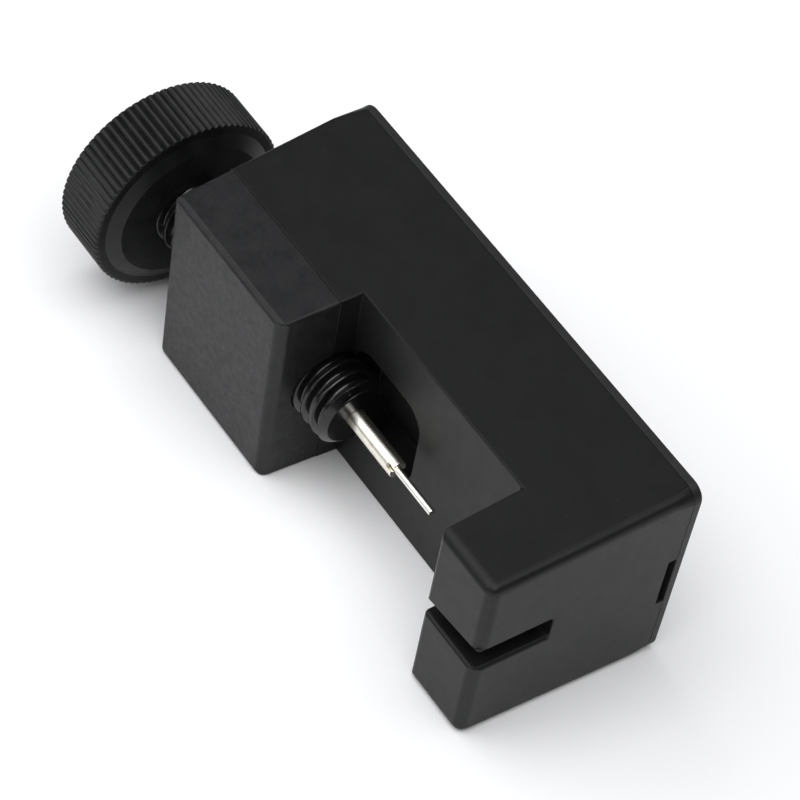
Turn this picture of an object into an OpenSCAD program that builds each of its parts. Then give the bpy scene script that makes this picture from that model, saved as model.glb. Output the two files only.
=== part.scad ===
// Screw press for pushing the link pins out of a watch bracelet.
// A C-shaped moulded body carries a hand screw with a steel drive pin, which
// works towards a slotted jaw. A thin cover closes the pin store in the back.
// +X runs along the screw from the knob to the jaw, +Y points to the back cover
// and +Z is up. The origin is the middle of the footprint, on the rest surface.

/* [Body] */
// Length of the body at its back
body_len = 59.7; // [56:0.1:64]
// Depth of the body, from the back cover to the front of the jaw
body_depth = 25; // [24:0.1:26]
// Height of the body at its back
body_h = 28.1; // [27:0.1:30]
// Mould draft on every outer wall, in degrees
draft = 2.58; // [1:0.01:3]
// Radius on the front edges
edge_r = 1.2; // [0.6:0.1:2]

/* [Work gap and jaw] */
// Distance from the knob end of the body to the jaw's working face
jaw_x = 49.9; // [48:0.1:51]
// Thickness of the beam that joins the screw block to the jaw
beam_t = 15.3; // [14.5:0.1:15.8]
// Height of the pin slot at the jaw's working face
slot_in_h = 2.1; // [1.6:0.1:2.4]
// Height of the pin slot at the outer end of the jaw
slot_out_h = 3.6; // [2.8:0.1:3.8]
// Distance from the knob end of the body to the end of the screw's clearance hollow
hollow_x = 34.1; // [34:0.1:36]
// Height of the clearance hollow in the beam
hollow_h = 12; // [10.5:0.1:12.4]

/* [Screw block] */
// Length of the screw block along the screw
block_len = 20.9; // [18:0.1:23]
// Distance from the back of the body to the screw axis and to the block's seam
axis_from_back = 17.9; // [17.2:0.1:18.2]
// Draft on the block's working face, in degrees
block_draft = 3.3; // [1:0.1:4]
// Diameter of the dowel pegs on the block cover
peg_d = 2.4; // [2:0.1:3]

/* [Hand screw] */
// Crest diameter of the screw thread
thread_d = 8.8; // [8.4:0.1:9]
// Pitch of the screw thread
pitch = 1.6; // [1.4:0.1:1.8]
// Depth of the screw thread
thread_h = 0.75; // [0.5:0.05:0.9]
// Radial clearance between the thread and the bore of the block
run_gap = 0.06; // [0.02:0.01:0.1]
// Length of screw that stands out of the block's working face
screw_out = 5.2; // [4:0.1:6]

/* [Knob] */
// Diameter of the knob over its ridges
knob_d = 23.3; // [22:0.1:24.6]
// Width of the knob
knob_w = 7.2; // [6.6:0.1:8]
// Gap between the knob's rim and the body
knob_gap = 6.9; // [6.6:0.1:7.5]
// Height of the raised disc on the side towards the body
disc_h = 0.7; // [0.4:0.1:1]
// Number of ridges round the knob
ridges = 80; // [60:1:90]
// Depth of the ridges
ridge_h = 0.35; // [0.2:0.05:0.5]

/* [Drive pin and holder] */
// Diameter of the metal pin holder
holder_d = 2.1; // [2:0.1:2.4]
// Length of the holder that shows
holder_out = 7.9; // [6:0.1:8.5]
// Diameter of the drive pin
pin_d = 0.8; // [0.7:0.05:0.9]
// Length of the drive pin that shows
pin_out = 6.2; // [5:0.1:6.5]
// Diameter of the head that traps the drive pin
head_d = 1.5; // [1.3:0.05:1.6]
// Number of spare pins in the store
spares = 3; // [3:1:3]

/* [Back cover] */
// Thickness of the cover plate
cover_t = 1.0; // [0.8:0.1:1.2]
// Radius at the cover's corners
cover_r = 1.8; // [1:0.1:3]
// Wall round the pin store
wall = 2.2; // [2:0.1:2.6]
// Depth of the pin store behind the cover
store_depth = 8.6; // [8:0.1:8.8]
// Height of the thumbnail notch at the cover's seam
notch_h = 7.3; // [5:0.1:9]

/* [Hidden] */
$fn = 96;
eps = 0.01;
far = 40;

// Places along Y, in the mould's frame: the origin is on the screw axis and the
// back and front faces are at right angles to Y.
back_y = axis_from_back;
front_y = back_y - body_depth;
shell_y = back_y - cover_t;
beam_y = back_y - beam_t;
store_y = shell_y - store_depth;
slope = tan(draft);
block_slope = tan(block_draft);

// Each outer wall leans in by the draft towards the front.
function half_h(y) = body_h / 2 - slope * (back_y - y);
function knob_end_x(y) = slope * (back_y - y);
function jaw_end_x(y) = body_len - slope * (back_y - y);
function block_x(y) = knob_end_x(0) + block_len + block_slope * y;

// The part rests on the drafted underside, so the mouldings are tipped by the draft.
axis_h = half_h(0) * cos(draft);
mid_x = (body_len - knob_gap - knob_w + knob_end_x(0)) / 2;
mid_y = (back_y * cos(draft) + body_h / 2 * sin(draft) - knob_d / 2) / 2;

// Places along the screw axis.
screw_x1 = block_x(0) + screw_out;
holder_x0 = screw_x1 - 3;
holder_x1 = screw_x1 + holder_out;
tip_x = holder_x1 + pin_out;
knob_x1 = knob_end_x(0) - knob_gap;
knob_x0 = knob_x1 - knob_w;
disc_x = knob_x1 + disc_h;
socket_depth = 4.5;
screw_x0 = disc_x - socket_depth;

thread_r = thread_d / 2;
root_r = thread_r - thread_h;
bore_r = thread_r + run_gap;
shank_r = root_r - 0.45;
knob_r = knob_d / 2;
holder_r = holder_d / 2;
pin_r = pin_d / 2;
pin_gap = 0.05;
head_r = head_d / 2;
head_t = 0.8;
pin_len = tip_x - holder_x0 - pin_gap;

slot_low = -0.8;
hollow_depth = 3.9;
peg_len = 4;
peg_gap_x = 4.2;
peg_z = 9;
lug_t = 1.2;
lug_len = 8;
lug_depth = 3;
lug_gap = 0.1;
rib_t = 1.6;
rib_h = 3.2;
spare_pitch = 5;
spare_x = 22;
spare_y = store_y + rib_h - 0.15;
rib_x = [spare_x + 4, spare_x + 13.4];

// ---- outline helpers ----

function unit(v) = v / norm(v);
function xy(p) = [p[0], p[1]];

// Points of an arc of radius r that rounds the corner at b between a and c.
function corner(a, b, c, r, steps = 6) =
    r <= 0 ? [b] :
    let (
        u = unit(a - b),
        v = unit(c - b),
        half = acos(u * v) / 2,
        centre = b + unit(u + v) * r / sin(half),
        from = b + u * r / tan(half) - centre,
        to = b + v * r / tan(half) - centre,
        a0 = atan2(from[1], from[0]),
        turn = atan2(to[1], to[0]) - a0,
        sweep = turn > 180 ? turn - 360 : turn < -180 ? turn + 360 : turn
    )
    [for (i = [0:steps]) centre + r * [cos(a0 + sweep * i / steps), sin(a0 + sweep * i / steps)]];

// An outline from corners given as [x, y, radius].
function rounded(pts) =
    let (n = len(pts))
    [for (i = [0:n - 1])
        for (p = corner(xy(pts[(i + n - 1) % n]), xy(pts[i]), xy(pts[(i + 1) % n]), pts[i][2]))
            p];

// A rectangle in X and Z, extruded along Y from y0 to y1.
module xz_plate(x0, x1, z_half, y0, y1, r) {
    translate([0, y1, 0])
        rotate([90, 0, 0])
            linear_extrude(y1 - y0)
                polygon(rounded([[x0, -z_half, r], [x1, -z_half, r], [x1, z_half, r], [x0, z_half, r]]));
}

// An outline in Y and Z, extruded along X over the whole part.
module yz_prism(points) {
    translate([-far, 0, 0])
        rotate([90, 0, 90])
            linear_extrude(4 * far)
                polygon(points);
}

// A cylinder along X from x0 to x1.
module rod(x0, x1, r) {
    translate([x0, 0, 0])
        rotate([0, 90, 0])
            cylinder(h = x1 - x0, r = r);
}

// A solid turned round the X axis from an outline in [x, radius].
module turned(points) {
    rotate([0, 90, 0])
        rotate([0, 0, 180])
            rotate_extrude()
                polygon([for (p = points) [p[1], p[0]]]);
}

// From the mould's frame to the part's frame.
module mould_frame() {
    translate([-mid_x, -mid_y, axis_h])
        rotate([draft, 0, 0])
            children();
}

// From the screw axis to the part's frame.
module screw_frame() {
    translate([-mid_x, -mid_y, axis_h])
        children();
}

// ---- mouldings ----

// The side view of the mouldings, with drafted top and bottom.
module side_view(y0, y1, r) {
    yz_prism(rounded([[y1, -half_h(y1), 0], [y1, half_h(y1), 0], [y0, half_h(y0), r], [y0, -half_h(y0), r]]));
}

module body_blank() {
    intersection() {
        translate([0, 0, -far])
            linear_extrude(2 * far)
                polygon(rounded([
                    [knob_end_x(shell_y), shell_y, 0],
                    [knob_end_x(0), 0, 0],
                    [block_x(0), 0, 0],
                    [block_x(beam_y), beam_y, 0.3],
                    [jaw_x, beam_y, 0.5],
                    [jaw_x, front_y, edge_r / 2],
                    [jaw_end_x(front_y), front_y, edge_r],
                    [jaw_end_x(shell_y), shell_y, 0]]));
        side_view(front_y, shell_y, edge_r);
    }
}

// The slot lets the pushed pin out of the jaw. It opens towards the front and widens outwards.
module jaw_slot() {
    translate([0, beam_y - 0.6, 0])
        rotate([90, 0, 0])
            linear_extrude(far)
                polygon([
                    [jaw_x - 1, slot_low],
                    [jaw_end_x(0) + 1, slot_low],
                    [jaw_end_x(0) + 1, slot_low + slot_out_h],
                    [jaw_x - 1, slot_low + slot_in_h]]);
}

// A hollow in the beam clears the screw's thread as it advances.
module screw_hollow() {
    intersection() {
        xz_plate(block_x(0) - 5, hollow_x, hollow_h / 2, -1, beam_y + hollow_depth, 3);
        translate([block_x(beam_y) - block_slope, 0, -far])
            cube(2 * far);
    }
}

module store() {
    xz_plate(knob_end_x(shell_y) + wall, jaw_end_x(shell_y) - wall, half_h(store_y) - wall,
             store_y, shell_y + 1, 1);
}

// Ribs across the floor of the store hold the spare pins in grooves.
module pin_ribs() {
    difference() {
        for (x = rib_x)
            translate([x - rib_t / 2, store_y - 1, -half_h(store_y) + wall - 0.5])
                cube([rib_t, rib_h + 1, 2 * (half_h(store_y) - wall) + 1]);
        for (i = [0:spares - 1])
            translate([0, spare_y, spare_z(i)])
                rod(spare_x - 1, spare_x + 30, pin_r + pin_gap);
    }
}

function spare_z(i) = (i - (spares - 1) / 2) * spare_pitch;

module peg_places() {
    for (x = [knob_end_x(0) + peg_gap_x, block_x(0) - peg_gap_x], z = [-peg_z, peg_z])
        translate([x, 0, z])
            children();
}

// A thumbnail notch at the seam, on the jaw end.
module thumb_notch() {
    translate([jaw_end_x(shell_y) - 1.2, shell_y - 0.95, -notch_h / 2 - 0.6])
        cube([3, 2, notch_h]);
}

module main_body() {
    color([0.07, 0.07, 0.075])
        mould_frame() {
            difference() {
                body_blank();
                store();
                rod(-far, block_x(0) + 1, bore_r);
                screw_hollow();
                jaw_slot();
                thumb_notch();
                peg_places()
                    rotate([-90, 0, 0])
                        translate([0, 0, -1])
                            cylinder(h = peg_len + 1.3, d = peg_d);
            }
            pin_ribs();
        }
}

// The front half of the screw block, with half of the bore and four dowel pegs.
module block_cover() {
    color([0.10, 0.10, 0.105])
        mould_frame() {
            difference() {
                intersection() {
                    translate([0, 0, -far])
                        linear_extrude(2 * far)
                            polygon(rounded([
                                [knob_end_x(0), 0, 0],
                                [knob_end_x(front_y), front_y, edge_r / 2],
                                [block_x(front_y), front_y, edge_r],
                                [block_x(0), 0, 0]]));
                    side_view(front_y, 0, edge_r);
                }
                rod(-far, far, bore_r);
            }
            peg_places()
                rotate([-90, 0, 0])
                    translate([0, 0, -eps])
                        cylinder(h = peg_len + eps, d = peg_d);
        }
}

// The cover plate over the pin store, with four snap lugs on its inner face.
module back_cover() {
    lug_z = half_h(store_y) - wall - lug_gap;
    color([0.08, 0.08, 0.085])
        mould_frame() {
            intersection() {
                xz_plate(-eps, body_len + eps, body_h / 2 + eps, shell_y, back_y, cover_r);
                translate([0, 0, -far])
                    linear_extrude(2 * far)
                        polygon([
                            [knob_end_x(shell_y), shell_y],
                            [jaw_end_x(shell_y), shell_y],
                            [body_len, back_y],
                            [0, back_y]]);
                side_view(shell_y - 1, back_y, 0);
            }
            for (x = [14, body_len - 14], side = [-1, 1])
                translate([x - lug_len / 2, shell_y - lug_depth, side > 0 ? lug_z - lug_t : -lug_z])
                    cube([lug_len, lug_depth + 0.2, lug_t]);
        }
}

// ---- hand screw ----

// The knob: a ridged rim with bevelled ends, a raised disc on the side towards the body
// and a shallow recess in its outer face.
module knob() {
    bevel = 0.25;
    foot_r = knob_r - 1.25;
    disc_r = knob_r - 2.85;
    color([0.06, 0.06, 0.065])
        screw_frame()
            difference() {
                union() {
                    intersection() {
                        translate([knob_x0, 0, 0])
                            rotate([0, 90, 0])
                                linear_extrude(knob_w)
                                    polygon([for (i = [0:2 * ridges - 1])
                                        (knob_r - (i % 2) * ridge_h) *
                                            [cos(i * 180 / ridges), sin(i * 180 / ridges)]]);
                        turned([
                            [knob_x0, 0],
                            [knob_x0, knob_r - bevel],
                            [knob_x0 + bevel, knob_r + eps],
                            [knob_x1 - bevel, knob_r + eps],
                            [knob_x1, knob_r - bevel],
                            [knob_x1, 0]]);
                    }
                    turned([
                        [knob_x1 - 1, 0],
                        [knob_x1 - 1, foot_r],
                        [knob_x1, foot_r],
                        [disc_x, disc_r],
                        [disc_x, 0]]);
                }
                rod(screw_x0, disc_x + 1, shank_r);
                rod(knob_x0 - 1, knob_x0 + 0.5, knob_r - 2.2);
            }
}

// The threaded spindle. Rings stand in for the helical thread.
module press_screw() {
    turns = floor((screw_x1 - disc_x - 0.4) / pitch);
    thread_x0 = screw_x1 - 0.4 - turns * pitch;
    color([0.03, 0.03, 0.03])
        screw_frame()
            difference() {
                turned(concat(
                    [[screw_x0, 0], [screw_x0, shank_r], [disc_x, shank_r], [disc_x, root_r]],
                    [for (i = [0:turns - 1])
                        for (p = [[0, root_r], [0.5, thread_r], [0.85, thread_r], [1.35, root_r]])
                            [thread_x0 + i * pitch + p[0], p[1]]],
                    [[screw_x1, root_r], [screw_x1, 0]]));
                rod(holder_x0, screw_x1 + 1, holder_r);
            }
}

// The metal holder: bored for the pin from the front, counterbored for its head
// from the back, and slotted for a screwdriver at its free end.
module pin_holder() {
    slot_w = 0.55;
    slot_d = 0.9;
    color([0.80, 0.78, 0.70])
        screw_frame()
            difference() {
                turned([
                    [holder_x0, 0],
                    [holder_x0, holder_r],
                    [holder_x1 - 0.15, holder_r],
                    [holder_x1, holder_r - 0.15],
                    [holder_x1, 0]]);
                rod(holder_x0 - 1, holder_x1 + 1, pin_r + pin_gap);
                rod(holder_x0 - 1, holder_x0 + head_t + 2 * pin_gap, head_r + pin_gap);
                rotate([-35, 0, 0])
                    translate([holder_x1 - slot_d, -holder_d, -slot_w / 2])
                        cube([slot_d + 1, 2 * holder_d, slot_w]);
            }
}

// A headed steel pin with its head's back face at x = 0.
module headed_pin() {
    turned([
        [0, 0],
        [0, head_r],
        [head_t, head_r],
        [head_t, pin_r],
        [pin_len - 0.1, pin_r],
        [pin_len, pin_r - 0.1],
        [pin_len, 0]]);
}

module drive_pin() {
    color([0.82, 0.82, 0.80])
        screw_frame()
            translate([holder_x0 + pin_gap, 0, 0])
                headed_pin();
}

module spare_pin(i) {
    color([0.82, 0.82, 0.80])
        mould_frame()
            translate([spare_x, spare_y, spare_z(i)])
                headed_pin();
}

main_body();
block_cover();
back_cover();
knob();
press_screw();
pin_holder();
drive_pin();
spare_pin(0);  // spare_pin_1
spare_pin(1);  // spare_pin_2
spare_pin(2);  // spare_pin_3
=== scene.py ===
import math

import bmesh
import bpy
from mathutils import Matrix, Vector


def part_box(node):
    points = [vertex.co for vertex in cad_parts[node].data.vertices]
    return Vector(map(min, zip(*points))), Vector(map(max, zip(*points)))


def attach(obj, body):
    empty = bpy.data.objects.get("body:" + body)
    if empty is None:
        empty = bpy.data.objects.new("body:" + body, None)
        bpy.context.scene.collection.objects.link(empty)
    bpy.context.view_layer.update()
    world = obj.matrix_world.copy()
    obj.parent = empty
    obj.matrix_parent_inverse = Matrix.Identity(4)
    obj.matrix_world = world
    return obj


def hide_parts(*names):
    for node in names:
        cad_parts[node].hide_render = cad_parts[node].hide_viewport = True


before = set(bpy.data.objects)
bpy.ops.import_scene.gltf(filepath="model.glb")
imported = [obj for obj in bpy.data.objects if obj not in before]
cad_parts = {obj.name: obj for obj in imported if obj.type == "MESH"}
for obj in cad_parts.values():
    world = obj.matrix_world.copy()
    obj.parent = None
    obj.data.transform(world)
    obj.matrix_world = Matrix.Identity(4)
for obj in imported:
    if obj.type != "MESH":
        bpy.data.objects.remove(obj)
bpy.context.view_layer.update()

# Lengths are in millimetres and angles in degrees. A piece is modelled in the mould's frame,
# whose origin is on the screw axis at the knob end of the body, or along the screw axis.
MM = 0.001


def cad(node):
    low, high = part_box(node)
    return low / MM, high / MM


cover_low, cover_high = cad("back_cover")
knob_low, knob_high = cad("knob")
screw_low, screw_high = cad("press_screw")
holder_low, holder_high = cad("pin_holder")
pin_low, pin_high = cad("drive_pin")

AXIS = Vector((cover_low.x, (pin_low.y + pin_high.y) / 2, (pin_low.z + pin_high.z) / 2))
DRAFT = 2.58
SCREW_FRAME = Matrix.Scale(MM, 4) @ Matrix.Translation(AXIS)
MOULD_FRAME = SCREW_FRAME @ Matrix.Rotation(math.radians(DRAFT), 4, "X")

BODY_LEN = cover_high.x - cover_low.x
BODY_DEPTH = 25.0
BODY_H = 28.1
AXIS_FROM_BACK = 17.9
COVER_T = 1.0
BEAM_T = 15.3
BLOCK_LEN = 20.9
BLOCK_DRAFT = 3.3
JAW_X = 49.9
THREAD_R = 4.4
THREAD_H = 0.75
PITCH = 1.6
BORE_R = THREAD_R + 0.06

BACK_Y = AXIS_FROM_BACK
FRONT_Y = BACK_Y - BODY_DEPTH
SHELL_Y = BACK_Y - COVER_T
BEAM_Y = BACK_Y - BEAM_T
SLOPE = math.tan(math.radians(DRAFT))
BLOCK_SLOPE = math.tan(math.radians(BLOCK_DRAFT))


def half_h(y):
    return BODY_H / 2 - SLOPE * (BACK_Y - y)


def knob_end_x(y):
    return SLOPE * (BACK_Y - y)


def jaw_end_x(y):
    return BODY_LEN - SLOPE * (BACK_Y - y)


def block_x(y):
    return knob_end_x(0) + BLOCK_LEN + BLOCK_SLOPE * y


DISC_H = 0.7
DISC_X = knob_high.x - AXIS.x
KNOB_X0 = knob_low.x - AXIS.x
KNOB_X1 = DISC_X - DISC_H
KNOB_R = (knob_high.z - knob_low.z) / 2
SCREW_X0 = screw_low.x - AXIS.x
SCREW_X1 = screw_high.x - AXIS.x
HOLDER_X0 = holder_low.x - AXIS.x
HOLDER_X1 = holder_high.x - AXIS.x
HOLDER_R = (holder_high.z - holder_low.z) / 2
PIN_X0 = pin_low.x - AXIS.x
PIN_X1 = pin_high.x - AXIS.x


# ---- mesh tools ----

scene = bpy.context.scene


def mesh_object(name, verts, faces):
    mesh = bpy.data.meshes.new(name)
    mesh.from_pydata([tuple(v) for v in verts], [], faces)
    bm = bmesh.new()
    bm.from_mesh(mesh)
    bmesh.ops.recalc_face_normals(bm, faces=bm.faces)
    bm.to_mesh(mesh)
    bm.free()
    obj = bpy.data.objects.new(name, mesh)
    scene.collection.objects.link(obj)
    return obj


def apply_modifiers(obj):
    bpy.context.view_layer.update()
    graph = bpy.context.evaluated_depsgraph_get()
    mesh = bpy.data.meshes.new_from_object(obj.evaluated_get(graph))
    obj.modifiers.clear()
    old = obj.data
    obj.data = mesh
    bpy.data.meshes.remove(old)


def combine(obj, tool, operation="DIFFERENCE"):
    """Cuts tool from obj, or adds or intersects it, and removes tool."""
    modifier = obj.modifiers.new("combine", "BOOLEAN")
    modifier.solver = "EXACT"
    modifier.operation = operation
    modifier.object = tool
    apply_modifiers(obj)
    bpy.data.objects.remove(tool)
    return obj


def round_edges(obj, radius_at, segments=4, sharp=20):
    """Rounds each edge by the radius that radius_at(middle, direction) gives it."""
    bm = bmesh.new()
    bm.from_mesh(obj.data)
    layer = bm.edges.layers.float.new("bevel_weight_edge")
    radii = {}
    for edge in bm.edges:
        if len(edge.link_faces) == 2 and edge.calc_face_angle() > math.radians(sharp):
            a, b = edge.verts[0].co, edge.verts[1].co
            radii[edge] = radius_at((a + b) / 2, (b - a).normalized())
    widest = max(radii.values())
    for edge, radius in radii.items():
        edge[layer] = radius / widest
    bm.to_mesh(obj.data)
    bm.free()
    bevel = obj.modifiers.new("round", "BEVEL")
    bevel.limit_method = "WEIGHT"
    bevel.width = widest
    bevel.segments = segments
    bevel.use_clamp_overlap = False
    apply_modifiers(obj)
    return obj


def smooth(obj, sharp=32):
    """Flat faces stay flat and rounded edges are shaded as curves."""
    obj.data.shade_smooth()
    obj.data.set_sharp_from_angle(angle=math.radians(sharp))
    weighted = obj.modifiers.new("normals", "WEIGHTED_NORMAL")
    weighted.keep_sharp = True
    weighted.weight = 100
    apply_modifiers(obj)
    return obj


def drafted_prism(name, outline):
    """A moulding from its outline in X and Y, with drafted top and bottom."""
    n = len(outline)
    verts = [(x, y, side * half_h(y)) for side in (-1, 1) for x, y in outline]
    faces = [list(range(n)), list(range(n, 2 * n))]
    faces += [[i, (i + 1) % n, n + (i + 1) % n, n + i] for i in range(n)]
    return mesh_object(name, verts, faces)


def prism(name, outline, place, low, high):
    """An outline of (u, v) pairs, extruded from low to high: place(u, v, w) gives a point."""
    n = len(outline)
    verts = [place(u, v, w) for w in (low, high) for u, v in outline]
    faces = [list(range(n)), list(range(n, 2 * n))]
    faces += [[i, (i + 1) % n, n + (i + 1) % n, n + i] for i in range(n)]
    return mesh_object(name, verts, faces)


def drafted_plate(name, places, grow=0.0):
    """A plate with the mouldings' drafted outline, from (y, corner radius) pairs along Y."""
    outlines = [rounded_rectangle(knob_end_x(y) - grow, jaw_end_x(y) + grow,
                                  -half_h(y) - grow, half_h(y) + grow, r) for y, r in places]
    n = len(outlines[0])
    verts = [(x, y, z) for outline, (y, r) in zip(outlines, places) for x, z in outline]
    faces = [list(range(n)), list(range(len(verts) - n, len(verts)))]
    for start in range(0, len(verts) - n, n):
        faces += [[start + i, start + (i + 1) % n, start + n + (i + 1) % n, start + n + i] for i in range(n)]
    return mesh_object(name, verts, faces)


def along_y(u, v, w):
    return (u, w, v)


def rounded_rectangle(x0, x1, z0, z1, radius, steps=8):
    points = []
    for cx, cz, start in ((x1, z1, 0), (x0, z1, 90), (x0, z0, 180), (x1, z0, 270)):
        ox = cx - radius if cx == x1 else cx + radius
        oz = cz - radius if cz == z1 else cz + radius
        for i in range(steps + 1):
            a = math.radians(start + 90 * i / steps)
            points.append((ox + radius * math.cos(a), oz + radius * math.sin(a)))
    return points


def box(name, x0, x1, y0, y1, z0, z1):
    return prism(name, [(x0, z0), (x1, z0), (x1, z1), (x0, z1)], along_y, y0, y1)


def lathe(name, profile, segments=64, loop=False, radius=None):
    """Turns (x, r) points round the X axis. radius(x, r, angle) may change r round the turn."""
    verts, rings = [], []
    for x, r in profile:
        if r == 0:
            rings.append([len(verts)])
            verts.append((x, 0, 0))
            continue
        start = len(verts)
        for j in range(segments):
            a = 2 * math.pi * j / segments
            rr = radius(x, r, a) if radius else r
            verts.append((x, rr * math.cos(a), rr * math.sin(a)))
        rings.append(list(range(start, start + segments)))
    faces = []
    pairs = list(zip(rings, rings[1:] + rings[:1]))
    for ring, after in pairs if loop else pairs[:-1]:
        for j in range(segments):
            k = (j + 1) % segments
            corners = [ring[j % len(ring)], ring[k % len(ring)],
                       after[k % len(after)], after[j % len(after)]]
            faces.append(list(dict.fromkeys(corners)))
    return mesh_object(name, verts, faces)


def cylinder(name, x0, x1, r, segments=64):
    return lathe(name, [(x0, 0), (x0, r), (x1, r), (x1, 0)], segments)


def rounded_profile(points, steps=3):
    """A lathe profile from (x, r, fillet) corners, with each fillet drawn as short chords."""
    out = []
    for i, (x, r, fillet) in enumerate(points):
        here = Vector((x, r))
        if fillet == 0 or i in (0, len(points) - 1):
            out.append((x, r))
            continue
        before = Vector(points[i - 1][:2])
        after = Vector(points[i + 1][:2])
        u, v = (before - here).normalized(), (after - here).normalized()
        half = u.angle(v) / 2
        back = fillet / math.tan(half)
        start, end = here + u * back, here + v * back
        for k in range(steps + 1):
            t = k / steps
            p = start * (1 - t) ** 2 + here * 2 * t * (1 - t) + end * t ** 2
            out.append((p.x, p.y))
    return out


# ---- materials ----


def add(tree, kind, inputs=None, **settings):
    node = tree.nodes.new(kind)
    for key, value in settings.items():
        setattr(node, key, value)
    for key, value in (inputs or {}).items():
        if isinstance(value, bpy.types.NodeSocket):
            tree.links.new(value, node.inputs[key])
        else:
            node.inputs[key].default_value = value
    return node


def noise(tree, where, size, detail=2.0, rough=0.5, distortion=0.0):
    """Noise with features of the given size in millimetres."""
    node = add(tree, "ShaderNodeTexNoise", {"Vector": where, "Scale": 1 / (size * MM), "Detail": detail,
                                            "Roughness": rough, "Distortion": distortion})
    return node.outputs["Fac"]


def remap(tree, value, low, high, to_low, to_high):
    node = add(tree, "ShaderNodeMapRange", {"Value": value, "From Min": low, "From Max": high,
                                            "To Min": to_low, "To Max": to_high})
    return node.outputs["Result"]


def blend_colours(tree, factor, a, b):
    node = tree.nodes.new("ShaderNodeMix")
    node.data_type = "RGBA"
    tree.links.new(factor, node.inputs["Factor"])
    for socket, value in ((node.inputs[6], a), (node.inputs[7], b)):
        if isinstance(value, bpy.types.NodeSocket):
            tree.links.new(value, socket)
        else:
            socket.default_value = (*value, 1)
    return node.outputs[2]


def bump(tree, height, distance, before=None):
    inputs = {"Height": height, "Distance": distance * MM}
    if before:
        inputs["Normal"] = before
    return add(tree, "ShaderNodeBump", inputs).outputs["Normal"]


def plastic(name, dark, light, rough, spread, grain, grain_depth, cloud, specular=0.5):
    """Moulded plastic: cloudy colour and sheen, fine grain, and sparse light specks."""
    material = bpy.data.materials.new(name)
    material.use_nodes = True
    tree = material.node_tree
    shader = tree.nodes["Principled BSDF"]
    where = add(tree, "ShaderNodeTexCoord").outputs["Object"]
    clouds = noise(tree, where, cloud, 3.0, 0.6, 0.4)
    fine = noise(tree, where, grain, 3.0, 0.65)
    sheen = noise(tree, where, cloud * 0.35, 4.0, 0.6)
    shade = blend_colours(tree, remap(tree, clouds, 0.35, 0.65, 0, 1), dark, light)
    specks = remap(tree, noise(tree, where, 0.5, 1.0), 0.74, 0.8, 0, 0.35)
    shade = blend_colours(tree, specks, shade, tuple(3 * c for c in light))
    tree.links.new(shade, shader.inputs["Base Color"])
    gloss = remap(tree, sheen, 0.3, 0.7, rough - spread, rough + spread)
    tree.links.new(gloss, shader.inputs["Roughness"])
    normal = bump(tree, fine, grain_depth)
    normal = bump(tree, noise(tree, where, cloud * 1.3, 2.0), grain_depth * 3, normal)
    tree.links.new(normal, shader.inputs["Normal"])
    shader.inputs["Specular IOR Level"].default_value = specular
    return material


def drawn_metal(name, dark, light, rough, mark, mark_depth):
    """Metal with fine drawing marks along the X axis."""
    material = bpy.data.materials.new(name)
    material.use_nodes = True
    tree = material.node_tree
    shader = tree.nodes["Principled BSDF"]
    where = add(tree, "ShaderNodeTexCoord").outputs["Object"]
    lined = add(tree, "ShaderNodeMapping", {"Vector": where, "Scale": (0.04, 1, 1)}).outputs["Vector"]
    marks = noise(tree, lined, mark, 3.0, 0.6)
    stain = noise(tree, where, 1.4, 3.0, 0.6)
    shade = blend_colours(tree, remap(tree, stain, 0.35, 0.7, 0, 1), light, dark)
    tree.links.new(shade, shader.inputs["Base Color"])
    tree.links.new(remap(tree, marks, 0.3, 0.7, rough * 0.75, rough * 1.3), shader.inputs["Roughness"])
    tree.links.new(bump(tree, marks, mark_depth), shader.inputs["Normal"])
    shader.inputs["Metallic"].default_value = 1.0
    return material


MATERIALS = {
    "body_plastic": plastic("body_plastic", (0.0070, 0.0073, 0.0072), (0.0088, 0.0091, 0.0090), 0.42, 0.03,
                            0.12, 0.0016, 5.0, 0.2),
    "block_plastic": plastic("block_plastic", (0.0085, 0.0088, 0.0098), (0.0145, 0.0147, 0.0158), 0.45, 0.07,
                             0.2, 0.008, 2.2, 0.25),
    "cover_plastic": plastic("cover_plastic", (0.0105, 0.0108, 0.011), (0.0150, 0.0152, 0.0155), 0.5, 0.05,
                             0.14, 0.006, 3.4, 0.3),
    "knob_plastic": plastic("knob_plastic", (0.0055, 0.0057, 0.0058), (0.0105, 0.0108, 0.0108), 0.4, 0.06,
                            0.14, 0.004, 2.2, 0.25),
    "screw_plastic": plastic("screw_plastic", (0.0035, 0.0035, 0.0035), (0.0055, 0.0055, 0.006), 0.2, 0.04,
                             0.2, 0.002, 1.8, 0.5),
    "holder_metal": drawn_metal("holder_metal", (0.78, 0.74, 0.62), (0.94, 0.92, 0.83), 0.3, 0.1, 0.0006),
    "pin_steel": drawn_metal("pin_steel", (0.74, 0.73, 0.68), (0.92, 0.91, 0.86), 0.22, 0.08, 0.0008),
}


def finish_piece(obj, place, node, body, slot, sharp=32):
    """Puts a modelled piece in its place on the object."""
    smooth(obj, sharp)
    obj.data.transform(place)
    obj.data.materials.clear()
    obj.data.materials.append(MATERIALS[slot])
    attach(obj, body)
    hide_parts(node)
    return obj


# ---- main body ----

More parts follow.
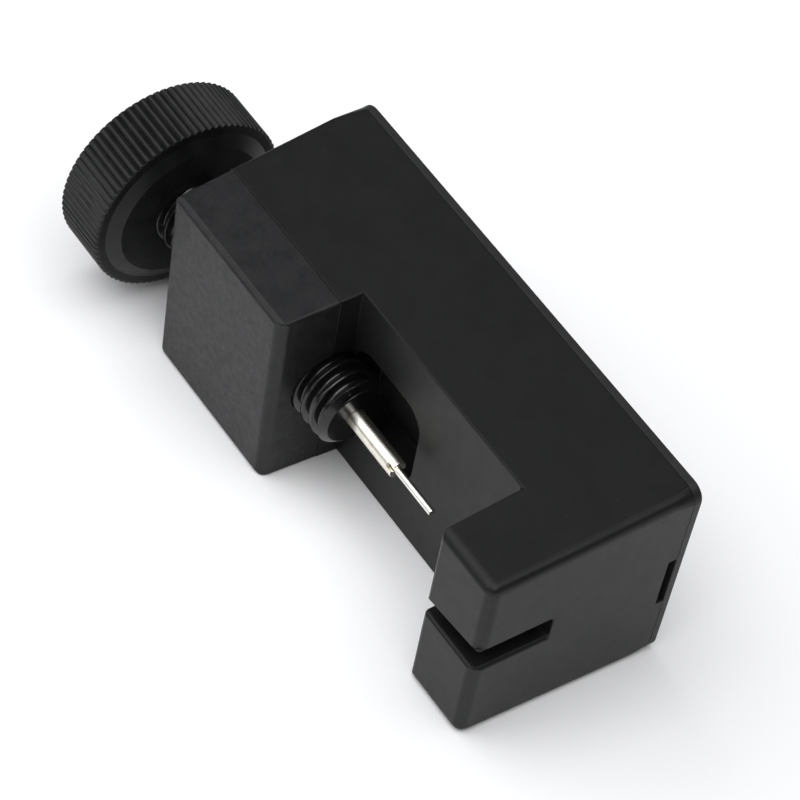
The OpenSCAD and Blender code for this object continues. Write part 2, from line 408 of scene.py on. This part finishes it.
EDGE_R = 1.2
KNOB_END_R = 0.8
COVER_R = 1.8
CORNER_FADE = 6.0
RIB_PLACES = (4.0, 13.4)
SEAM_R = 0.11
FINE_R = 0.22
INNER_R = 0.15
BORE_MOUTH_R = 0.2
BEAM_CORNER_R = 0.3
JAW_CORNER_R = 0.5
JAW_FACE_R = 0.6
SLOT_LIP_R = 0.5
HOLLOW_X = 34.1
HOLLOW_HALF = 6.0
HOLLOW_R = 3.0
HOLLOW_DEPTH = 3.9
SLOT_LOW = -0.8
SLOT_IN_H = 2.1
SLOT_OUT_H = 3.6
SLOT_END_Y = BEAM_Y - 0.6
SLOT_END_R = 0.7
SLOT_MIDDLE = SLOT_LOW + 1.2
NOTCH_H = 7.3
NOTCH_DEPTH = 0.95
NOTCH_REACH = 1.2
NOTCH_LOW = -NOTCH_H / 2 - 0.6
WALL = 2.2
STORE_DEPTH = 8.6
STORE_R = 1.0
STORE_Y = SHELL_Y - STORE_DEPTH
RIB_T = 1.6
RIB_H = 3.2
PIN_R = 0.4
PIN_GAP = 0.05
SPARE_X = 22.0
SPARE_Y = STORE_Y + RIB_H - 0.15
SPARE_PITCH = 5.0
SPARES = 3
PEG_R = 1.2
PEG_LEN = 4.0
PEG_Z = 9.0
PEG_GAP_X = 4.2


def spare_z(i):
    return (i - (SPARES - 1) / 2) * SPARE_PITCH


def near(a, b, gap=0.05):
    return abs(a - b) < gap


def pegs(name, y0, y1, r):
    """Cylinders along Y at the four dowel places."""
    made = []
    for x in (knob_end_x(0) + PEG_GAP_X, block_x(0) - PEG_GAP_X):
        for z in (-PEG_Z, PEG_Z):
            peg = lathe(name, [(y0, 0), (y0, r), (y1, r), (y1, 0)], 32)
            peg.data.transform(Matrix.Translation((x, 0, z)) @ Matrix.Rotation(math.radians(90), 4, "Z"))
            made.append(peg)
    return made


def body_radius(middle, direction):
    """The radius of each edge of the main body."""
    x, y, z = middle
    along_z = abs(direction.z) > 0.9
    top = near(abs(z), half_h(y))
    if near(y, SHELL_Y) or near(y, 0):
        return SEAM_R
    if near(math.hypot(y, z), BORE_R, 0.1):
        return 0 if x > block_x(0) + 0.3 or y > BEAM_Y - 0.3 else BORE_MOUTH_R
    if along_z and not top:
        if near(y, FRONT_Y):
            return EDGE_R if x > JAW_X + 2 else JAW_FACE_R
        if near(y, BEAM_Y) and near(x, JAW_X):
            return JAW_CORNER_R
        if near(y, BEAM_Y) and near(x, block_x(BEAM_Y)):
            return BEAM_CORNER_R
    if top:
        if near(y, FRONT_Y) or near(x, jaw_end_x(y)):
            return EDGE_R
        if near(x, knob_end_x(y)):
            return KNOB_END_R
        return FINE_R
    if near(y, SLOT_END_Y) and abs(direction.x) > 0.9:
        return SLOT_END_R
    if y < SLOT_END_Y + 0.1 and x > JAW_X - 0.1:
        return INNER_R if z > SLOT_MIDDLE else SLOT_LIP_R
    return INNER_R


def make_body():
    outline = [(knob_end_x(SHELL_Y), SHELL_Y), (knob_end_x(0), 0), (block_x(0), 0),
               (block_x(BEAM_Y), BEAM_Y), (JAW_X, BEAM_Y), (JAW_X, FRONT_Y),
               (jaw_end_x(FRONT_Y), FRONT_Y), (jaw_end_x(SHELL_Y), SHELL_Y)]
    body = drafted_prism("main_body_moulding", outline)
    out_x = jaw_end_x(0) + 1
    slot = prism("slot", [(JAW_X - 1, SLOT_LOW), (out_x, SLOT_LOW), (out_x, SLOT_LOW + SLOT_OUT_H),
                          (JAW_X - 1, SLOT_LOW + SLOT_IN_H)], along_y, FRONT_Y - 5, SLOT_END_Y)
    combine(body, slot)
    hollow_outline = rounded_rectangle(block_x(BEAM_Y) + 0.5, HOLLOW_X, -HOLLOW_HALF, HOLLOW_HALF, HOLLOW_R)
    combine(body, prism("hollow", hollow_outline, along_y, -1, BEAM_Y + HOLLOW_DEPTH))
    combine(body, cylinder("bore", -20, block_x(0) + 1, BORE_R, 96))
    notch = box("notch", jaw_end_x(SHELL_Y) - NOTCH_REACH, jaw_end_x(SHELL_Y) + 2,
                SHELL_Y - NOTCH_DEPTH, SHELL_Y + 2, NOTCH_LOW, NOTCH_LOW + NOTCH_H)
    combine(body, notch)
    round_edges(body, body_radius)
    trim = ((SHELL_Y + 0.5, COVER_R + 0.12), (SHELL_Y - CORNER_FADE, 0.3), (FRONT_Y - 1, 0.1))
    combine(body, drafted_plate("corner_trim", trim, 0.01), "INTERSECT")
    store_half = half_h(STORE_Y) - WALL
    store_outline = rounded_rectangle(knob_end_x(SHELL_Y) + WALL, jaw_end_x(SHELL_Y) - WALL,
                                      -store_half, store_half, STORE_R)
    store = prism("store", store_outline, along_y, STORE_Y, SHELL_Y + 2)
    for x in (SPARE_X + place for place in RIB_PLACES):
        rib = box("rib", x - RIB_T / 2, x + RIB_T / 2, STORE_Y - 1, STORE_Y + RIB_H,
                  -store_half - 1, store_half + 1)
        for i in range(SPARES):
            groove = cylinder("groove", x - RIB_T, x + RIB_T, PIN_R + PIN_GAP, 32)
            groove.data.transform(Matrix.Translation((0, SPARE_Y, spare_z(i))))
            combine(rib, groove)
        combine(store, rib)
    combine(body, store)
    for peg in pegs("peg_hole", -1, PEG_LEN + 0.3, PEG_R):
        combine(body, peg)
    return finish_piece(body, MOULD_FRAME, "main_body", "press_frame", "body_plastic")


# ---- block cover and back cover ----

BLOCK_CORNER_R = 0.6
BLOCK_FRONT_R = 0.7
BLOCK_KNOB_R = 0.9
BLOCK_INNER_R = 0.35


def block_radius(middle, direction):
    """The radius of each edge of the block cover."""
    x, y, _ = middle
    if near(y, 0):
        return SEAM_R
    knob_side = x < block_x(0) / 2
    if abs(direction.z) > 0.9:
        return BLOCK_CORNER_R if knob_side else EDGE_R
    if near(y, FRONT_Y):
        return BLOCK_FRONT_R
    return BLOCK_KNOB_R if knob_side else BLOCK_INNER_R


def make_block_cover():
    outline = [(knob_end_x(0), 0), (knob_end_x(FRONT_Y), FRONT_Y), (block_x(FRONT_Y), FRONT_Y), (block_x(0), 0)]
    cover = drafted_prism("block_cover_moulding", outline)
    round_edges(cover, block_radius)
    combine(cover, cylinder("bore", -20, 60, BORE_R, 96))
    for peg in pegs("peg", -0.5, PEG_LEN, PEG_R):
        combine(cover, peg, "UNION")
    return finish_piece(cover, MOULD_FRAME, "block_cover", "press_frame", "block_plastic")


LUG_LEN = 8.0
LUG_T = 1.2
LUG_DEPTH = 3.0
LUG_X = 14.0
LUG_GAP = 0.1
COVER_EDGE_R = 0.28
COVER_SEAM_R = 0.08


def cover_radius(middle, direction):
    """The radius of each edge of the back cover's plate."""
    return COVER_EDGE_R if near(middle.y, BACK_Y) else COVER_SEAM_R


def make_back_cover():
    plate = drafted_plate("back_cover_moulding", ((SHELL_Y, COVER_R), (BACK_Y, COVER_R)))
    round_edges(plate, cover_radius, 3, 40)
    lug_z = half_h(STORE_Y) - WALL - LUG_GAP
    for x in (LUG_X, BODY_LEN - LUG_X):
        for side in (-1, 1):
            z0, z1 = sorted((side * lug_z, side * (lug_z - LUG_T)))
            lug = box("lug", x - LUG_LEN / 2, x + LUG_LEN / 2, SHELL_Y - LUG_DEPTH, SHELL_Y + 0.3, z0, z1)
            combine(plate, lug, "UNION")
    return finish_piece(plate, MOULD_FRAME, "back_cover", "store_lid", "cover_plastic")


# ---- knob ----

RIDGES = 80
RIDGE_H = 0.35
RIM_IN = KNOB_R - 1.25
FACE_RECESS = 0.5
DISC_R = KNOB_R - 2.85
BEVEL = ((0.0, 0.36), (0.03, 0.2), (0.09, 0.09), (0.18, -0.01))
SHANK_R = THREAD_R - THREAD_H - 0.45
GATE_ANGLE = math.radians(161)
GATE_X = (KNOB_X0 + KNOB_X1) / 2


def ridged(x, r, angle):
    """The rim's radius: rounded ridges with sharp valleys, worn flat at the gate mark."""
    if r < KNOB_R - RIDGE_H - 0.1:
        return r
    away = math.remainder(angle - GATE_ANGLE, 2 * math.pi)
    gate = math.exp(-(away / 0.13) ** 2 - ((x - GATE_X) / 1.5) ** 2)
    depth = RIDGE_H * (1 - 0.85 * gate)
    ridge = KNOB_R - depth * (1 - abs(math.cos(RIDGES / 2 * angle))) - 0.1 * gate
    return min(r, ridge)


def make_knob():
    outer_face = rounded_profile([
        (KNOB_X0 + FACE_RECESS, 0, 0), (KNOB_X0 + FACE_RECESS, KNOB_R - 2.4, 0.2),
        (KNOB_X0, KNOB_R - 2.2, 0.15), (KNOB_X0, KNOB_R - 0.6, 0.1)])
    first, last = KNOB_X0 + BEVEL[-1][0], KNOB_X1 - BEVEL[-1][0]
    rim = [(KNOB_X0 + along, KNOB_R - down) for along, down in BEVEL]
    rim += [(first + (last - first) * i / 14, KNOB_R + 0.01) for i in range(1, 14)]
    rim += [(KNOB_X1 - along, KNOB_R - down) for along, down in reversed(BEVEL)]
    inner_face = rounded_profile([
        (KNOB_X1, KNOB_R - 0.5, 0), (KNOB_X1, RIM_IN, 0.12), (DISC_X, DISC_R, 0.1), (DISC_X, SHANK_R, 0),
        (SCREW_X0, SHANK_R, 0), (SCREW_X0, 0, 0)])
    knob = lathe("knob_moulding", outer_face + rim + inner_face, RIDGES * 8, radius=ridged)
    return finish_piece(knob, SCREW_FRAME, "knob", "hand_screw", "knob_plastic", 45)


# ---- screw ----

THREAD_SHAPE = [(0, 0), (0.12, 0.1), (0.22, 0.4), (0.36, 0.8), (0.46, 0.97), (0.58, 1.0), (0.7, 1.0),
                (0.82, 0.97), (0.92, 0.8), (1.06, 0.4), (1.16, 0.1), (1.28, 0), (1.44, 0)]
ROOT_R = THREAD_R - THREAD_H


def thread_blank(name, x0, x1, segments=96):
    """A right-hand helical thread that runs past both ends, to be cut to length."""
    turns = math.ceil((x1 - x0) / PITCH) + 3
    rows = [(k * PITCH + u, ROOT_R + THREAD_H * h) for k in range(turns) for u, h in THREAD_SHAPE]
    per_turn = len(THREAD_SHAPE)
    count = len(rows)
    verts = []
    start = x0 - 2 * PITCH
    for j in range(segments):
        a = 2 * math.pi * j / segments
        for u, r in rows:
            verts.append((start + u + PITCH * j / segments, r * math.cos(a), r * math.sin(a)))
    faces = []
    for j in range(segments - 1):
        for i in range(count - 1):
            p = j * count + i
            faces.append([p, p + 1, p + 1 + count, p + count])
    last = (segments - 1) * count
    for i in range(count - 1 - per_turn):
        faces.append([last + i, last + i + 1, i + 1 + per_turn, i + per_turn])
    low = [j * count for j in range(segments)] + list(range(per_turn, 0, -1))
    high = [last + i for i in range(count - 1 - per_turn, count - 1)]
    high += [j * count + count - 1 for j in range(segments - 1, -1, -1)]
    for loop, x in ((low, start - 1), (high, start + turns * PITCH + PITCH + 1)):
        verts.append((x, 0, 0))
        centre = len(verts) - 1
        for i, p in enumerate(loop):
            faces.append([p, loop[(i + 1) % len(loop)], centre])
    return mesh_object(name, verts, faces)


def make_screw():
    screw = thread_blank("press_screw_moulding", DISC_X, SCREW_X1)
    limit = lathe("limit", rounded_profile([
        (DISC_X, 0, 0), (DISC_X, THREAD_R + 0.2, 0), (SCREW_X1 - 0.75, THREAD_R + 0.05, 0.3),
        (SCREW_X1, ROOT_R - 0.1, 0.25), (SCREW_X1, 0, 0)]), 96)
    combine(screw, limit, "INTERSECT")
    combine(screw, cylinder("shank", SCREW_X0, DISC_X + 0.5, SHANK_R), "UNION")
    socket = lathe("socket", [(HOLDER_X0, 0), (HOLDER_X0, HOLDER_R), (SCREW_X1 - 0.12, HOLDER_R),
                              (SCREW_X1 + 0.12, HOLDER_R + 0.24), (SCREW_X1 + 0.12, 0)], 64)
    combine(screw, socket)
    return finish_piece(screw, SCREW_FRAME, "press_screw", "hand_screw", "screw_plastic", 40)


# ---- metal pieces ----

HEAD_R = 0.75
HEAD_T = 0.8
HOLDER_SLOT_W = 0.55
HOLDER_SLOT_D = 0.9
HOLDER_SLOT_TURN = -35


def make_holder():
    bore, head = PIN_R + PIN_GAP, HEAD_R + PIN_GAP
    seat = HOLDER_X0 + HEAD_T + 2 * PIN_GAP
    outside = rounded_profile([(HOLDER_X0, head, 0), (HOLDER_X0, HOLDER_R, 0.05), (HOLDER_X1, HOLDER_R, 0.14),
                               (HOLDER_X1, bore, 0)])
    holder = lathe("pin_holder_tube", outside + [(seat, bore), (seat, head)], 96, loop=True)
    slot = box("slot", HOLDER_X1 - HOLDER_SLOT_D, HOLDER_X1 + 1, -3, 3, -HOLDER_SLOT_W / 2, HOLDER_SLOT_W / 2)
    slot.data.transform(Matrix.Rotation(math.radians(HOLDER_SLOT_TURN), 4, "X"))
    combine(holder, slot)
    return finish_piece(holder, SCREW_FRAME, "pin_holder", "hand_screw", "holder_metal", 30)


def headed_pin(name):
    """A headed steel pin with the back of its head at x = 0."""
    length = PIN_X1 - PIN_X0
    return lathe(name, rounded_profile([
        (0, 0, 0), (0, HEAD_R, 0.12), (HEAD_T, HEAD_R, 0.12), (HEAD_T, PIN_R, 0), (length, PIN_R, 0.06),
        (length, 0, 0)]), 48)


def make_pins():
    pin = headed_pin("drive_pin_steel")
    pin.data.transform(Matrix.Translation((PIN_X0, 0, 0)))
    finish_piece(pin, SCREW_FRAME, "drive_pin", "pin_slide", "pin_steel", 40)
    for i in range(SPARES):
        spare = headed_pin(f"spare_pin_steel_{i + 1}")
        spare.data.transform(Matrix.Translation((SPARE_X, SPARE_Y, spare_z(i))))
        finish_piece(spare, MOULD_FRAME, f"spare_pin_{i + 1}", "press_frame", "pin_steel", 40)


make_body()
make_block_cover()
make_back_cover()
make_knob()
make_screw()
make_holder()
make_pins()


# ---- floor, light and camera ----


FLOOR_HALF = 4.0


def make_floor():
    corners = [(x * FLOOR_HALF, y * FLOOR_HALF, 0) for x, y in ((-1, -1), (1, -1), (1, 1), (-1, 1))]
    floor = mesh_object("floor", corners, [[0, 1, 2, 3]])
    material = bpy.data.materials.new("floor_white")
    material.use_nodes = True
    tree = material.node_tree
    shader = tree.nodes["Principled BSDF"]
    where = add(tree, "ShaderNodeTexCoord").outputs["Object"]
    shade = blend_colours(tree, noise(tree, where, 40.0, 2.0), (0.88, 0.885, 0.9), (0.9, 0.9, 0.91))
    tree.links.new(shade, shader.inputs["Base Color"])
    shader.inputs["Roughness"].default_value = 0.8
    shader.inputs["Specular IOR Level"].default_value = 0.2
    floor.data.materials.append(material)


def sun(name, azimuth, elevation, strength, spread):
    """A soft sun that shines from azimuth, counted from +X towards +Y, and elevation."""
    data = bpy.data.lights.new(name, "SUN")
    data.energy = strength
    data.angle = math.radians(spread)
    lamp = bpy.data.objects.new(name, data)
    a, e = math.radians(azimuth), math.radians(elevation)
    towards = Vector((math.cos(a) * math.cos(e), math.sin(a) * math.cos(e), math.sin(e)))
    lamp.rotation_euler = towards.to_track_quat("Z", "Y").to_euler()
    lamp.location = towards
    scene.collection.objects.link(lamp)


def make_world(level, camera_level):
    world = bpy.data.worlds.new("studio")
    world.use_nodes = True
    tree = world.node_tree
    background = tree.nodes["Background"]
    background.inputs["Color"].default_value = (0.97, 0.98, 1.0, 1)
    ray = add(tree, "ShaderNodeLightPath").outputs["Is Camera Ray"]
    tree.links.new(remap(tree, ray, 0, 1, level, camera_level), background.inputs["Strength"])
    scene.world = world


# Each sun's name, azimuth, elevation, strength and spread.
SUNS = (("left", -150, 45, 1.1, 60), ("front", -112, 40, 0.5, 60), ("overhead", -45, 78, 2.4, 60))
WORLD_LEVEL = 0.1
WORLD_CAMERA_LEVEL = 1.0

CAMERA_TARGET = Vector((3.62, 2.46, 12.57))
CAMERA_DISTANCE = 327.77
CAMERA_AZIMUTH = -44.534
CAMERA_ELEVATION = 49.876
CAMERA_ROLL = -14.099
CAMERA_LENS = 140.31


def make_camera():
    a, e = math.radians(CAMERA_AZIMUTH), math.radians(CAMERA_ELEVATION)
    view = Vector((math.sin(a) * math.cos(e), math.cos(a) * math.cos(e), -math.sin(e)))
    data = bpy.data.cameras.new("camera")
    data.lens = CAMERA_LENS
    data.sensor_width = 36
    data.clip_start = 0.01
    camera = bpy.data.objects.new("camera", data)
    turn = view.to_track_quat("-Z", "Y").to_matrix().to_4x4()
    roll = Matrix.Rotation(math.radians(-CAMERA_ROLL), 4, "Z")
    place = Matrix.Translation((CAMERA_TARGET - view * CAMERA_DISTANCE) * MM)
    camera.matrix_world = place @ turn @ roll
    scene.collection.objects.link(camera)
    scene.camera = camera


make_floor()
for lamp in SUNS:
    sun(*lamp)
make_world(WORLD_LEVEL, WORLD_CAMERA_LEVEL)
make_camera()
scene.view_settings.view_transform = "Standard"
